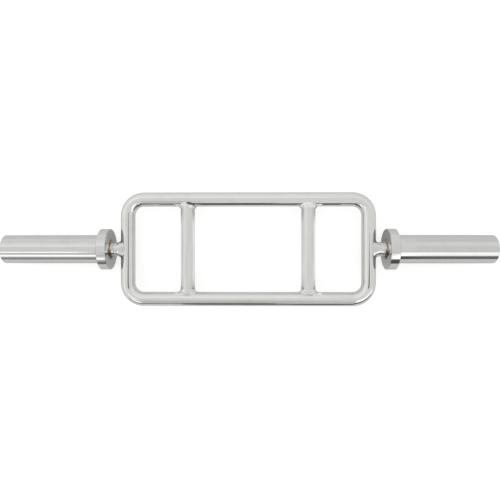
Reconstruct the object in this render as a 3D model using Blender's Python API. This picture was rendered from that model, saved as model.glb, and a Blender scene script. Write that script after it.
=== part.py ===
"""A triceps bar: a flat frame of bent round bar with two parallel handles, and a revolving
sleeve for weight plates at each end.

The frame lies flat. X runs along the bar, Y across the frame and Z through its thickness,
with the origin at the centre of the frame. All sizes are in metres.
"""

from math import cos, pi, radians, sin

import bmesh
import bpy
from mathutils import Matrix, Vector

# Frame
BAR_DIAMETER = 0.025  # the round stock of the loop, the handles and the spindle necks
FRAME_SPAN = 0.425  # between the centrelines of the two end bars
FRAME_WIDTH = 0.176  # between the centrelines of the two long bars
BEND_RADIUS = 0.0285  # of the loop's centreline round its corners
HANDLE_SPACING = 0.213  # between the centrelines of the handles

# Fillet welds, between a bar and the flat end of a branch that butts against it
WELD_LEG_ON_BAR = 0.0042
HANDLE_WELD_LEG = 0.0055  # along the handle, at the sides of the joint
HANDLE_WELD_FRONT_LEG = 0.0035  # along the handle, on the front and the back of the joint
HANDLE_WELD_CLIMB = radians(58)  # how far up the bar the bead climbs there
HANDLE_WELD_CROWN = 0.0010  # how far the bead bulges there
NECK_WELD_LEG = 0.0075
NECK_WELD_FRONT_LEG = 0.0070
NECK_WELD_CLIMB = radians(80)
NECK_WELD_CROWN = 0.0002
WELD_ROOT_CLIMB = radians(35)  # how deep the metal fills the groove behind the bead's face

# Sleeves
NECK_LENGTH = 0.0178  # bare spindle between the end bar and the collar
COLLAR_DIAMETER = 0.072
COLLAR_THICKNESS = 0.016
COLLAR_CHAMFER = 0.0012
TUBE_SEAT_DEPTH = 0.008  # the collar's counterbore, which the tube stands in
SLEEVE_DIAMETER = 0.050
SLEEVE_WALL = 0.005
SLEEVE_LENGTH = 0.1712  # from the collar's plate face to the rim
SLEEVE_CHAMFER = 0.001
END_RECESS = 0.017  # from the rim to the outer bush

# Bearings
INNER_BUSH_WALL = 0.0032
INNER_BUSH_LENGTH = 0.027
OUTER_BUSH_LENGTH = 0.030
BUSH_CHAMFER = 0.0006
SHOULDER_HEIGHT = 0.0025  # step from the neck down to the journal
JOURNAL_CHAMFER = 0.001
THRUST_WASHER_THICKNESS = 0.002
WASHER_MARGIN = 0.003  # from a washer's edge to the sleeve's bore

# End fastening
END_WASHER_THICKNESS = 0.003
LOCK_WASHER_THICKNESS = 0.0025
LOCK_WASHER_BAND = 0.0043
LOCK_WASHER_SLIT = radians(8)
BOLT_DIAMETER = 0.012
BOLT_HEAD_FLATS = 0.019
BOLT_HEAD_HEIGHT = 0.0075
BOLT_HEAD_CHAMFER = 0.001
BOLT_LENGTH = 0.030
TAPPED_HOLE_SPARE = 0.004  # thread below the bolt's tip
DRILL_POINT = 0.003

# Clearances
SEAT_GAP = 0.0003  # between pieces that are fixed to each other
RUNNING_GAP = 0.0003  # between pieces that turn on each other

# Fineness of the round forms
BAR_SIDES = 32
ROUND_SIDES = 48
HIDDEN_SIDES = 24
CORNER_STEPS = 8
WELD_STEPS = 32
WELD_FACE_STEPS = 4
WELD_SEAT_STEPS = 3
HEX_SIDES = 6
SHARP_ANGLE = radians(30)
MERGE_DISTANCE = 1e-6

# Derived sizes
bar_radius = BAR_DIAMETER / 2
seat_radius = bar_radius + SEAT_GAP  # clear of a bar, from its centreline
end_bar_x = FRAME_SPAN / 2
long_bar_y = FRAME_WIDTH / 2
handle_x = HANDLE_SPACING / 2
collar_face_x = end_bar_x + bar_radius + NECK_LENGTH

# Sleeve parts, as distances outwards from the collar's inner face
plate_face = COLLAR_THICKNESS
tube_seat = plate_face - TUBE_SEAT_DEPTH
sleeve_rim = plate_face + SLEEVE_LENGTH
outer_bush_end = sleeve_rim - END_RECESS
outer_bush_start = outer_bush_end - OUTER_BUSH_LENGTH
thrust_washer_start = outer_bush_start - RUNNING_GAP - THRUST_WASHER_THICKNESS
spindle_shoulder = thrust_washer_start - SEAT_GAP
spindle_tip = outer_bush_end + RUNNING_GAP
end_washer_start = spindle_tip + SEAT_GAP
lock_washer_start = end_washer_start + END_WASHER_THICKNESS + SEAT_GAP
bolt_head_start = lock_washer_start + LOCK_WASHER_THICKNESS + SEAT_GAP
bolt_tip = bolt_head_start - BOLT_LENGTH

sleeve_radius = SLEEVE_DIAMETER / 2
sleeve_bore_radius = sleeve_radius - SLEEVE_WALL
inner_bush_bore_radius = bar_radius + RUNNING_GAP
inner_bush_radius = inner_bush_bore_radius + INNER_BUSH_WALL
collar_bore_radius = inner_bush_radius + SEAT_GAP
fitted_radius = sleeve_bore_radius - SEAT_GAP  # of what is pressed into the sleeve tube
tube_seat_radius = sleeve_radius + SEAT_GAP
journal_radius = bar_radius - SHOULDER_HEIGHT
journal_hole_radius = journal_radius + RUNNING_GAP
washer_radius = sleeve_bore_radius - WASHER_MARGIN
bolt_radius = BOLT_DIAMETER / 2
bolt_hole_radius = bolt_radius + SEAT_GAP

SIDES = {"left": -1, "right": 1}


def clear_scene():
    for old in list(bpy.context.scene.objects):
        bpy.data.objects.remove(old)


def metal(name, colour, roughness):
    """A bare or plated metal."""
    material = bpy.data.materials.new(name)
    material.use_nodes = True
    surface = material.node_tree.nodes["Principled BSDF"]
    surface.inputs["Base Color"].default_value = (*colour, 1.0)
    surface.inputs["Roughness"].default_value = roughness
    surface.inputs["Metallic"].default_value = 1.0
    material.diffuse_color = (*colour, 1.0)
    return material


def finished(name, shape):
    """The mesh of a bmesh, welded, facing out and shaded smooth up to its real edges."""
    bmesh.ops.remove_doubles(shape, verts=shape.verts, dist=MERGE_DISTANCE)
    loose = [edge for edge in shape.edges if edge.is_wire]
    bmesh.ops.delete(shape, geom=loose, context="EDGES")
    bmesh.ops.recalc_face_normals(shape, faces=shape.faces)
    mesh = bpy.data.meshes.new(name)
    shape.to_mesh(mesh)
    shape.free()
    mesh.shade_smooth()
    mesh.set_sharp_from_angle(angle=SHARP_ANGLE)
    return mesh


def turned(name, profile, sides, slit=0.0):
    """A mesh turned about local X from a closed outline of (x, radius) points.

    It starts half a step round, so that a whole ring stands on a facet and not on a corner.
    """
    shape = bmesh.new()
    half_step = Matrix.Rotation(pi / sides, 3, "X")
    corners = [shape.verts.new(half_step @ Vector((x, 0.0, radius))) for x, radius in profile]
    outline = shape.faces.new(corners)
    spun = list(outline.verts) + list(outline.edges)
    if slit:
        spun.append(outline)
    else:
        bmesh.ops.delete(shape, geom=[outline], context="FACES_ONLY")
    bmesh.ops.spin(
        shape,
        geom=spun,
        cent=(0.0, 0.0, 0.0),
        axis=(1.0, 0.0, 0.0),
        angle=2 * pi - slit,
        steps=sides,
        use_merge=not slit,
    )
    return finished(name, shape)


def skinned(name, sections):
    """A mesh through equal loops of points, the last joined to the first."""
    shape = bmesh.new()
    loops = [[shape.verts.new(point) for point in section] for section in sections]
    for first, second in zip(loops, loops[1:] + loops[:1]):
        for i in range(len(first)):
            j = (i + 1) % len(first)
            shape.faces.new((first[i], first[j], second[j], second[i]))
    return finished(name, shape)


def placed(name, mesh, material=None, location=(0.0, 0.0, 0.0), turn=0.0, parent=None):
    """A named piece, turned about Z and then moved."""
    piece = bpy.data.objects.new(name, mesh)
    bpy.context.scene.collection.objects.link(piece)
    if material and not mesh.materials:
        mesh.materials.append(material)
    piece.location = location
    piece.rotation_euler = (0.0, 0.0, turn)
    piece.parent = parent
    return piece


def hidden(piece):
    """Marks a form that only shapes other pieces."""
    piece.hide_render = True
    piece.display_type = "WIRE"
    return piece


def shaped_by(piece, form, operation):
    boolean = piece.modifiers.new(form.name, "BOOLEAN")
    boolean.operation = operation
    boolean.object = form


def side_turn(side):
    """The turn that points local +X outwards on a side of the bar."""
    return 0.0 if side > 0 else pi


def rod_profile(half_length, radius):
    return [(-half_length, 0.0), (-half_length, radius), (half_length, radius), (half_length, 0.0)]


def ring_profile(start, end, bore_radius, outer_radius, chamfer):
    """The outline of a ring or tube whose outer edges are chamfered."""
    return [
        (start, bore_radius),
        (start, outer_radius - chamfer),
        (start + chamfer, outer_radius),
        (end - chamfer, outer_radius),
        (end, outer_radius - chamfer),
        (end, bore_radius),
    ]


def washer_profile(start, end, bore_radius, outer_radius):
    return [(start, bore_radius), (start, outer_radius), (end, outer_radius), (end, bore_radius)]


def frame_loop_mesh():
    """A rounded rectangle of round bar, swept from corner to corner."""
    corner_x = end_bar_x - BEND_RADIUS
    corner_y = long_bar_y - BEND_RADIUS
    corners = [(corner_x, corner_y), (-corner_x, corner_y), (-corner_x, -corner_y), (corner_x, -corner_y)]
    sections = []
    for quarter, (x, y) in enumerate(corners):
        for step in range(CORNER_STEPS + 1):
            angle = pi / 2 * (quarter + step / CORNER_STEPS)
            outward = Vector((cos(angle), sin(angle), 0.0))
            centre = Vector((x, y, 0.0)) + BEND_RADIUS * outward
            sections.append(bar_section(centre, outward))
    return skinned("frame_loop", sections)


def bar_section(centre, outward):
    up = Vector((0.0, 0.0, bar_radius))
    turns = [2 * pi * i / BAR_SIDES for i in range(BAR_SIDES)]
    return [centre + cos(turn) * bar_radius * outward + sin(turn) * up for turn in turns]


def blend(start, end, share):
    return start + (end - start) * share


def point_on_bar(x, climb):
    """A point just off a bar along X, by how far it lies round from the bar's -Y side."""
    return Vector((x, -seat_radius * cos(climb), seat_radius * sin(climb)))


def weld_section(angle, leg, front_leg, climb, crown):
    """One section of a bead, at an angle round a branch that leaves a bar along X towards -Y.

    Its face runs from the toe on the bar to the toe on the branch. Behind the face it
    follows the branch to its flat end, the groove's root, and the bar back to the toe.
    """
    across, up = cos(angle), sin(angle)
    toe_climb = climb * up
    root_climb = WELD_ROOT_CLIMB * up
    toe_on_bar = point_on_bar((bar_radius + WELD_LEG_ON_BAR) * across, toe_climb)
    toe_reach = bar_radius + blend(front_leg, leg, across**2)
    toe_on_branch = Vector((seat_radius * across, -toe_reach, seat_radius * up))
    rim = Vector((toe_on_branch.x, -max(bar_radius, abs(toe_on_branch.x)), toe_on_branch.z))
    root = point_on_bar(toe_on_branch.x, root_climb)
    end_face_root = Vector((root.x, min(root.y, -bar_radius), root.z))

    outward = Vector((across, -cos(toe_climb), sin(toe_climb) + up)).normalized()
    face = []
    for step in range(WELD_FACE_STEPS + 1):
        share = step / WELD_FACE_STEPS
        bulge = crown * up**2 * sin(pi * share)
        face.append(blend(toe_on_bar, toe_on_branch, share) + outward * bulge)
    seat = []
    for step in range(WELD_SEAT_STEPS):
        share = step / WELD_SEAT_STEPS
        x = blend(root.x, toe_on_bar.x, share)
        seat.append(point_on_bar(x, blend(root_climb, toe_climb, share)))
    return [*face, rim, end_face_root, *seat]


def weld_bead_mesh(name, leg, front_leg, climb, crown):
    """The bead round a branch, with the bar along local X and the branch along local -Y."""
    turns = [2 * pi * step / WELD_STEPS for step in range(WELD_STEPS)]
    return skinned(name, [weld_section(turn, leg, front_leg, climb, crown) for turn in turns])


def spindle_mesh():
    """The neck, the shoulder and the journal, with the tapped hole in its end.

    Distances run from the collar's inner face, and the neck starts against the end bar.
    """
    hole_bottom = bolt_tip - TAPPED_HOLE_SPARE
    neck_start = SEAT_GAP - NECK_LENGTH
    profile = [
        (neck_start, 0.0),
        (neck_start, bar_radius),
        (spindle_shoulder, bar_radius),
        (spindle_shoulder, journal_radius),
        (spindle_tip - JOURNAL_CHAMFER, journal_radius),
        (spindle_tip, journal_radius - JOURNAL_CHAMFER),
        (spindle_tip, bolt_hole_radius),
        (hole_bottom, bolt_hole_radius),
        (hole_bottom - DRILL_POINT, 0.0),
    ]
    return turned("spindle", profile, BAR_SIDES)


def collar_mesh():
    """The flange that plates rest on, with a seat for the sleeve tube."""
    flange_radius = COLLAR_DIAMETER / 2
    profile = [
        (0.0, collar_bore_radius),
        (0.0, flange_radius - COLLAR_CHAMFER),
        (COLLAR_CHAMFER, flange_radius),
        (plate_face - COLLAR_CHAMFER, flange_radius),
        (plate_face, flange_radius - COLLAR_CHAMFER),
        (plate_face, tube_seat_radius),
        (tube_seat, tube_seat_radius),
        (tube_seat, collar_bore_radius),
    ]
    return turned("collar", profile, ROUND_SIDES)


def sleeve_tube_mesh():
    tube_start = tube_seat + SEAT_GAP
    profile = [
        (tube_start, sleeve_bore_radius),
        (tube_start, sleeve_radius),
        (sleeve_rim - SLEEVE_CHAMFER, sleeve_radius),
        (sleeve_rim, sleeve_radius - SLEEVE_CHAMFER),
        (sleeve_rim, sleeve_bore_radius),
    ]
    return turned("sleeve_tube", profile, ROUND_SIDES)


def inner_bush_mesh():
    """A stepped bush: its nose shows in the collar, and its body fills the tube's bore."""
    body_start = tube_seat + SEAT_GAP
    profile = [
        (0.0, inner_bush_bore_radius),
        (0.0, inner_bush_radius - BUSH_CHAMFER),
        (BUSH_CHAMFER, inner_bush_radius),
        (body_start, inner_bush_radius),
        (body_start, fitted_radius),
        (INNER_BUSH_LENGTH, fitted_radius),
        (INNER_BUSH_LENGTH, inner_bush_bore_radius),
    ]
    return turned("inner_bush", profile, ROUND_SIDES)


def outer_bush_mesh():
    profile = ring_profile(
        outer_bush_start, outer_bush_end, journal_hole_radius, fitted_radius, BUSH_CHAMFER
    )
    return turned("outer_bush", profile, HIDDEN_SIDES)


def thrust_washer_mesh():
    end = thrust_washer_start + THRUST_WASHER_THICKNESS
    profile = washer_profile(thrust_washer_start, end, journal_hole_radius, washer_radius)
    return turned("thrust_washer", profile, HIDDEN_SIDES)


def end_washer_mesh():
    end = end_washer_start + END_WASHER_THICKNESS
    profile = washer_profile(end_washer_start, end, bolt_hole_radius, washer_radius)
    return turned("end_washer", profile, HIDDEN_SIDES)


def lock_washer_mesh():
    """A spring washer, split in one place."""
    end = lock_washer_start + LOCK_WASHER_THICKNESS
    outer_radius = bolt_hole_radius + LOCK_WASHER_BAND
    profile = washer_profile(lock_washer_start, end, bolt_hole_radius, outer_radius)
    return turned("lock_washer", profile, HIDDEN_SIDES, slit=LOCK_WASHER_SLIT)


def bolt_head_mesh():
    corner_radius = BOLT_HEAD_FLATS / 2 / cos(pi / HEX_SIDES)
    profile = [
        (bolt_head_start, 0.0),
        (bolt_head_start, corner_radius),
        (bolt_head_start + BOLT_HEAD_HEIGHT - BOLT_HEAD_CHAMFER, corner_radius),
        (bolt_head_start + BOLT_HEAD_HEIGHT, corner_radius - BOLT_HEAD_CHAMFER),
        (bolt_head_start + BOLT_HEAD_HEIGHT, 0.0),
    ]
    return turned("bolt_head", profile, HEX_SIDES)


def bolt_shank_mesh():
    head_middle = bolt_head_start + BOLT_HEAD_HEIGHT / 2
    profile = [
        (bolt_tip, 0.0),
        (bolt_tip, bolt_radius),
        (head_middle, bolt_radius),
        (head_middle, 0.0),
    ]
    return turned("bolt_shank", profile, HIDDEN_SIDES)


def build_frame(chrome, satin, bead):
    """The loop, the handles between its long bars and the beads that hold them."""
    placed("frame_loop", frame_loop_mesh(), chrome)
    handle_mesh = turned("handle", rod_profile(long_bar_y - seat_radius, bar_radius), BAR_SIDES)
    bead_mesh = weld_bead_mesh(
        "handle_weld", HANDLE_WELD_LEG, HANDLE_WELD_FRONT_LEG, HANDLE_WELD_CLIMB, HANDLE_WELD_CROWN
    )
    for side_name, side in SIDES.items():
        x = side * handle_x
        placed(f"{side_name}_handle", handle_mesh, satin, (x, 0.0, 0.0), pi / 2)
        placed(f"{side_name}_handle_upper_weld", bead_mesh, bead, (x, long_bar_y, 0.0))
        placed(f"{side_name}_handle_lower_weld", bead_mesh, bead, (x, -long_bar_y, 0.0), pi)


def build_spindles(chrome, bead, zinc):
    """The spindles welded to the end bars, and what is fastened to their outer ends."""
    spindle = spindle_mesh()
    bead_mesh = weld_bead_mesh(
        "neck_weld", NECK_WELD_LEG, NECK_WELD_FRONT_LEG, NECK_WELD_CLIMB, NECK_WELD_CROWN
    )
    fixed_rings = {
        "thrust_washer": thrust_washer_mesh(),
        "end_washer": end_washer_mesh(),
        "lock_washer": lock_washer_mesh(),
    }
    head = bolt_head_mesh()
    shank = bolt_shank_mesh()
    for side_name, side in SIDES.items():
        turn = side_turn(side)
        seat = (side * collar_face_x, 0.0, 0.0)
        placed(f"{side_name}_spindle", spindle, chrome, seat, turn)
        end_bar = (side * end_bar_x, 0.0, 0.0)
        placed(f"{side_name}_spindle_weld", bead_mesh, bead, end_bar, side * pi / 2)
        for ring_name, ring in fixed_rings.items():
            placed(f"{side_name}_{ring_name}", ring, zinc, seat, turn)
        bolt = placed(f"{side_name}_end_bolt", head, zinc, seat, turn)
        shank_form = hidden(placed(f"{side_name}_bolt_shank_form", shank, zinc, seat, turn))
        shaped_by(bolt, shank_form, "UNION")


def build_sleeves(chrome, collar_chrome, bronze):
    """What revolves on each spindle, carried by an empty on the spindle's axis."""
    turning = {
        "sleeve_tube": (sleeve_tube_mesh(), chrome),
        "collar": (collar_mesh(), collar_chrome),
        "inner_bush": (inner_bush_mesh(), bronze),
        "outer_bush": (outer_bush_mesh(), bronze),
    }
    for side_name, side in SIDES.items():
        axis = placed_axis(f"{side_name}_sleeve_axis", side)
        for piece_name, (mesh, material) in turning.items():
            placed(f"{side_name}_{piece_name}", mesh, material, parent=axis)


def placed_axis(name, side):
    axis = bpy.data.objects.new(name, None)
    bpy.context.scene.collection.objects.link(axis)
    axis.matrix_world = Matrix.Translation((side * collar_face_x, 0.0, 0.0)) @ Matrix.Rotation(
        side_turn(side), 4, "Z"
    )
    return axis


def main():
    clear_scene()
    frame_chrome = metal("frame_chrome", (0.60, 0.61, 0.59), 0.10)
    handle_chrome = metal("handle_chrome", (0.60, 0.61, 0.59), 0.18)
    weld_chrome = metal("weld_chrome", (0.57, 0.58, 0.56), 0.24)
    spindle_chrome = metal("spindle_chrome", (0.59, 0.60, 0.59), 0.14)
    sleeve_chrome = metal("sleeve_chrome", (0.60, 0.61, 0.59), 0.08)
    collar_chrome = metal("collar_chrome", (0.57, 0.58, 0.57), 0.18)
    zinc = metal("zinc_plate", (0.52, 0.53, 0.54), 0.35)
    bronze = metal("bronze", (0.33, 0.24, 0.15), 0.42)
    build_frame(frame_chrome, handle_chrome, weld_chrome)
    build_spindles(spindle_chrome, weld_chrome, zinc)
    build_sleeves(sleeve_chrome, collar_chrome, bronze)


main()
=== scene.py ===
"""Looks for a triceps bar: plated bars, weld beads, revolving sleeves and a pale studio.

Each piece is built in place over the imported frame, in metres, and rides on its body.
The sleeves' axis is X, the frame lies flat in X and Y, and the camera looks down on it.
"""

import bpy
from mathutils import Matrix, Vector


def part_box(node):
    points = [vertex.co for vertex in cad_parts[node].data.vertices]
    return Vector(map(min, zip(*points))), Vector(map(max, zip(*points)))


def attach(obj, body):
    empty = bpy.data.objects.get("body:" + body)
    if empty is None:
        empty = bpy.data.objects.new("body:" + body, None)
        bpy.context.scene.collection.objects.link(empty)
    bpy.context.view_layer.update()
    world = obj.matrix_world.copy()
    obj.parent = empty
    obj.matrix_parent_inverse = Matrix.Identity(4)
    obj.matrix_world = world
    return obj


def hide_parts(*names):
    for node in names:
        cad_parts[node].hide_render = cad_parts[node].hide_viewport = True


bl_info = {
    "name": "Triceps Bar Looks",
    "version": (1, 0, 0),
    "blender": (4, 5, 0),
    "location": "3D View > Sidebar > Triceps Bar",
    "description": "Fine surfaces, plated finishes and a studio for the packed triceps bar",
    "category": "Object",
}

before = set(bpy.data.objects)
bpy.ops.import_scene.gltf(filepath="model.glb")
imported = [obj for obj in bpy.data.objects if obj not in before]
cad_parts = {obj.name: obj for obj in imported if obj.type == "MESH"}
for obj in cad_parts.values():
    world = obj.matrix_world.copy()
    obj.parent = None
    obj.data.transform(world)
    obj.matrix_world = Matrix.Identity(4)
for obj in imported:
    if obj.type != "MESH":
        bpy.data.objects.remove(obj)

from collections import namedtuple
from math import atan, cos, hypot, pi, radians, sin, tan

import bmesh
import bpy
from mathutils import Matrix, Vector

SIDES = {"left": -1, "right": 1}

# Fineness of the meshes
BAR_STEPS = 96
ROUND_STEPS = 192
SMALL_STEPS = 128
RING_STEPS = 96
BEAD_STEPS = 300
BEAD_FACE_STEPS = 16
FILLET_STEPS = 4
BEND_STEPS = 48
LOOP_SIDES = 80
LOOP_STEP = 0.0016
MERGE_DISTANCE = 1e-7
ON_AXIS = 1e-7
NO_LENGTH = 1e-9
SUPPORT = 1.4  # how far a support point lies from a corner, against where its rounding starts

# Sizes of hidden or small features
GAP = 0.0003  # left between neighbouring pieces
BEAD_DEPTH = 0.00012  # of a bead's toes under the bars' skin
BEAD_CROWNS = (0.0006, 0.0003, 0.0001)  # upper, lower and neck beads
BEAD_HOLLOWS = (0.4, 0.4, 1.0)
NECK_COARSENESS = 0.12  # of a neck's bead, against a handle's
WELD_UNEVENNESS = 0.0018
WELD_SEED_STEP = 3.7
BORE_CHAMFER = 0.0007
RIM_INNER_CHAMFER = 0.0006
BUSH_RECESS = 0.0004  # of a bush's face, under the collar's
TAPPED_HOLE_SPARE = 0.004
DRILL_POINT = 0.003
SLIT = radians(8)  # of a spring washer
HANDLE_EDGE = 0.0003
NECK_EDGE = 0.0004
BUSH_EDGE = 0.0002
WASHER_EDGE = 0.0004
WIRE_EDGE = 0.0003  # of a spring washer's square wire
CROWN_SHARE = 0.95  # of a bolt head's crown, against its flats


def node_points(name):
    return [vertex.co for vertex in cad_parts[name].data.vertices]


def outer_radius(name):
    """The largest distance of a node's points from the sleeves' axis."""
    return max(hypot(point.y, point.z) for point in node_points(name))


def inner_radius(name):
    return min(hypot(point.y, point.z) for point in node_points(name))


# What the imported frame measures
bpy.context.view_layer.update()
loop_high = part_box("frame_loop")[1]
bar_radius = loop_high.z
end_bar_x = loop_high.x - bar_radius
long_bar_y = loop_high.y - bar_radius
handle_x = (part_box("right_handle")[0].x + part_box("right_handle")[1].x) / 2
collar_low, collar_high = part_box("right_collar")
collar_radius = outer_radius("right_collar")
tube_low, tube_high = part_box("right_sleeve_tube")
tube_radius = outer_radius("right_sleeve_tube")
tube_bore = inner_radius("right_sleeve_tube")
bush_low, bush_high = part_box("right_inner_bush")
bush_bore = inner_radius("right_inner_bush")
outer_bush_low, outer_bush_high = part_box("right_outer_bush")
spindle_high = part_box("right_spindle")[1]
journal_radius = inner_radius("right_thrust_washer")
end_washer_low, end_washer_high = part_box("right_end_washer")
washer_radius = outer_radius("right_end_washer")
lock_washer_low, lock_washer_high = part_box("right_lock_washer")
lock_washer_radius = outer_radius("right_lock_washer")
bolt_low, bolt_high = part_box("right_end_bolt")
bolt_head_corner = outer_radius("right_end_bolt")
bolt_hole_radius = inner_radius("right_end_washer")


class BarSizes(bpy.types.PropertyGroup):
    """Fine sizes of the surfaces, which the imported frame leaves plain."""

    bend_radius: bpy.props.FloatProperty(
        name="Bend radius",
        description="Radius of the loop's centreline round its corners",
        default=0.0285, min=0.015, max=0.06, subtype="DISTANCE",
    )
    edge_round: bpy.props.FloatProperty(
        name="Edge rounding",
        description="Radius left on turned edges by polishing before the plating",
        default=0.0003, min=0.00005, max=0.0005, subtype="DISTANCE",
    )
    chamfer: bpy.props.FloatProperty(
        name="Collar chamfer",
        description="Chamfer on both edges of a collar's rim",
        default=0.0006, min=0.0002, max=0.003, subtype="DISTANCE",
    )
    rim_chamfer: bpy.props.FloatProperty(
        name="Sleeve rim chamfer",
        description="Chamfer at the open end of a sleeve",
        default=0.001, min=0.0003, max=0.003, subtype="DISTANCE",
    )
    weld_leg_bar: bpy.props.FloatProperty(
        name="Weld leg on the bar",
        description="Reach of a fillet weld along the bar, at the sides of a joint",
        default=0.0042, min=0.002, max=0.008, subtype="DISTANCE",
    )
    weld_leg: bpy.props.FloatVectorProperty(
        name="Weld legs",
        description="Reach along the branch at the sides: upper, lower and neck welds",
        default=(0.0052, 0.0055, 0.0075), min=0.002, max=0.01, subtype="XYZ_LENGTH",
    )
    weld_front_leg: bpy.props.FloatVectorProperty(
        name="Weld legs in front",
        description="Reach along the branch in front: upper, lower and neck welds",
        default=(0.0028, 0.0054, 0.0070), min=0.001, max=0.01, subtype="XYZ_LENGTH",
    )
    weld_climb: bpy.props.FloatVectorProperty(
        name="Weld climb",
        description="How far the bead climbs round the bar: upper, lower and neck welds",
        default=(radians(66), radians(60), radians(80)), min=0.3, max=1.5, subtype="EULER",
    )
    ripple_height: bpy.props.FloatProperty(
        name="Weld ripple height",
        description="Height of the ripples across a handle's weld bead",
        default=0.00035, min=0.0, max=0.001, subtype="DISTANCE",
    )
    ripple_count: bpy.props.IntProperty(
        name="Weld ripples",
        description="Number of ripples round one bead",
        default=40, min=10, max=120,
    )
    turning_pitch: bpy.props.FloatProperty(
        name="Turning pitch",
        description="Spacing of the fine lathe rings on collars and sleeves",
        default=0.00025, min=0.00005, max=0.002, subtype="DISTANCE",
    )


class BarColours(bpy.types.PropertyGroup):
    """Colours and gloss of the finishes."""

    chrome: bpy.props.FloatVectorProperty(
        name="Chrome",
        description="Colour of the polished chrome plate on the frame",
        default=(0.563, 0.567, 0.559), min=0.0, max=1.0, subtype="COLOR",
    )
    sleeve_chrome: bpy.props.FloatVectorProperty(
        name="Sleeve chrome",
        description="Colour of the darker plate on the sleeves, the collars and the necks",
        default=(0.498, 0.503, 0.498), min=0.0, max=1.0, subtype="COLOR",
    )
    zinc: bpy.props.FloatVectorProperty(
        name="Zinc",
        description="Colour of the zinc plated bolt and washers",
        default=(0.50, 0.51, 0.52), min=0.0, max=1.0, subtype="COLOR",
    )
    bronze: bpy.props.FloatVectorProperty(
        name="Bronze",
        description="Colour of the bearing bushes",
        default=(0.78, 0.63, 0.46), min=0.0, max=1.0, subtype="COLOR",
    )
    # The grease colour is also the painted shade in the bushes' bores and on their side towards
    # -Y
    grease: bpy.props.FloatVectorProperty(
        name="Grease",
        description="Colour of old grease and grime in gaps",
        default=(0.035, 0.028, 0.02), min=0.0, max=1.0, subtype="COLOR",
    )
    chrome_roughness: bpy.props.FloatProperty(
        name="Chrome roughness",
        description="Roughness of clean polished plate",
        default=0.07, min=0.0, max=1.0, subtype="FACTOR",
    )
    handle_roughness: bpy.props.FloatProperty(
        name="Handle roughness",
        description="Roughness of the handles, which were polished less",
        default=0.31, min=0.0, max=1.0, subtype="FACTOR",
    )


class BarStudio(bpy.types.PropertyGroup):
    """The floor, the light and the camera."""

    light: bpy.props.FloatProperty(
        name="Studio light",
        description="Brightness of the studio's pale walls and ceiling",
        default=1.0, min=0.0, max=3.0, subtype="FACTOR",
    )
    floor_colour: bpy.props.FloatVectorProperty(
        name="Floor colour",
        description="Colour of the plain floor",
        default=(0.86, 0.86, 0.86), min=0.0, max=1.0, subtype="COLOR",
    )
    camera_height: bpy.props.FloatProperty(
        name="Camera height",
        description="Distance from the camera to the sleeves' axis",
        default=0.8183, min=0.3, max=3.0, subtype="DISTANCE",
    )
    lens: bpy.props.FloatProperty(
        name="Lens",
        description="Focal length on a 36 mm sensor, in millimetres",
        default=33.33, min=10.0, max=200.0,
    )


# Meshes


def plain_mesh(name, shape):
    """The mesh of a bmesh, which is freed."""
    mesh = bpy.data.meshes.new(name)
    shape.to_mesh(mesh)
    shape.free()
    return mesh


def closed_mesh(name, shape, sharp_angle=None):
    """The mesh of a closed bmesh, merged, facing out and shaded smooth."""
    bmesh.ops.remove_doubles(shape, verts=shape.verts, dist=MERGE_DISTANCE)
    bmesh.ops.recalc_face_normals(shape, faces=shape.faces)
    mesh = plain_mesh(name, shape)
    mesh.shade_smooth()
    if sharp_angle:
        mesh.set_sharp_from_angle(angle=sharp_angle)
    return mesh


def rounded(outline, radius):
    """The outline with its corners rounded, and with a support point at each side of them."""
    points = []
    for i, (x, r) in enumerate(outline):
        corner = Vector((x, r))
        before = Vector(outline[i - 1]) - corner
        after = Vector(outline[(i + 1) % len(outline)]) - corner
        if r < radius or min(before.length, after.length) < NO_LENGTH:
            points.append(corner)
            continue
        half_angle = before.angle(after) / 2
        reach = min(radius / tan(half_angle), 0.3 * before.length, 0.3 * after.length)
        start = corner + before.normalized() * reach
        end = corner + after.normalized() * reach
        points.append(corner + before.normalized() * reach * SUPPORT)
        for step in range(FILLET_STEPS + 1):
            share = step / FILLET_STEPS
            first = start.lerp(corner, share)
            second = corner.lerp(end, share)
            points.append(first.lerp(second, share))
        points.append(corner + after.normalized() * reach * SUPPORT)
    return [(point.x, point.y) for point in points]


def turned_point(x, radius, angle):
    """A point at a radius and an angle round the sleeves' axis."""
    return (x, radius * sin(angle), radius * cos(angle))


def turned_mesh(name, outline, side=1, steps=ROUND_STEPS, sharp_angle=None):
    """A closed outline of (x, radius) points turned about the sleeves' axis.

    The x values are those of the right side, and are mirrored for the left one.
    A point of the outline may also be a function of the angle.
    """
    shape = bmesh.new()
    turns = [2 * pi * i / steps for i in range(steps)]
    rings = []
    for level in outline:
        points = [level(angle) if callable(level) else level for angle in turns]
        if points[0][1] < ON_AXIS:
            rings.append([shape.verts.new((side * points[0][0], 0.0, 0.0))] * steps)
        else:
            places = [turned_point(side * x, r, angle) for (x, r), angle in zip(points, turns)]
            rings.append([shape.verts.new(place) for place in places])
    bridge(shape, rings)
    return closed_mesh(name, shape, sharp_angle)


def bridge(shape, rings, closed=True):
    """Faces between equal rings of points, the last joined to the first if closed."""
    following = rings[1:] + rings[:1] if closed else rings[1:]
    for first, second in zip(rings, following):
        for i in range(len(first)):
            j = (i + 1) % len(first)
            corners = list(dict.fromkeys((first[i], first[j], second[j], second[i])))
            if len(corners) > 2:
                shape.faces.new(corners)


def point_on_bar(x, climb, radius):
    """A point by how far it lies round from the -Y side of a bar along X."""
    return Vector((x, -radius * cos(climb), radius * sin(climb)))


Bead = namedtuple("Bead", "leg_bar leg front_leg climb crown hollow")

# A bead's root, inside the metal
ROOT_REACH = 0.8 * bar_radius
ROOT_CLIMB = radians(35)
ROOT_RADIUS = 0.9 * bar_radius


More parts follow.
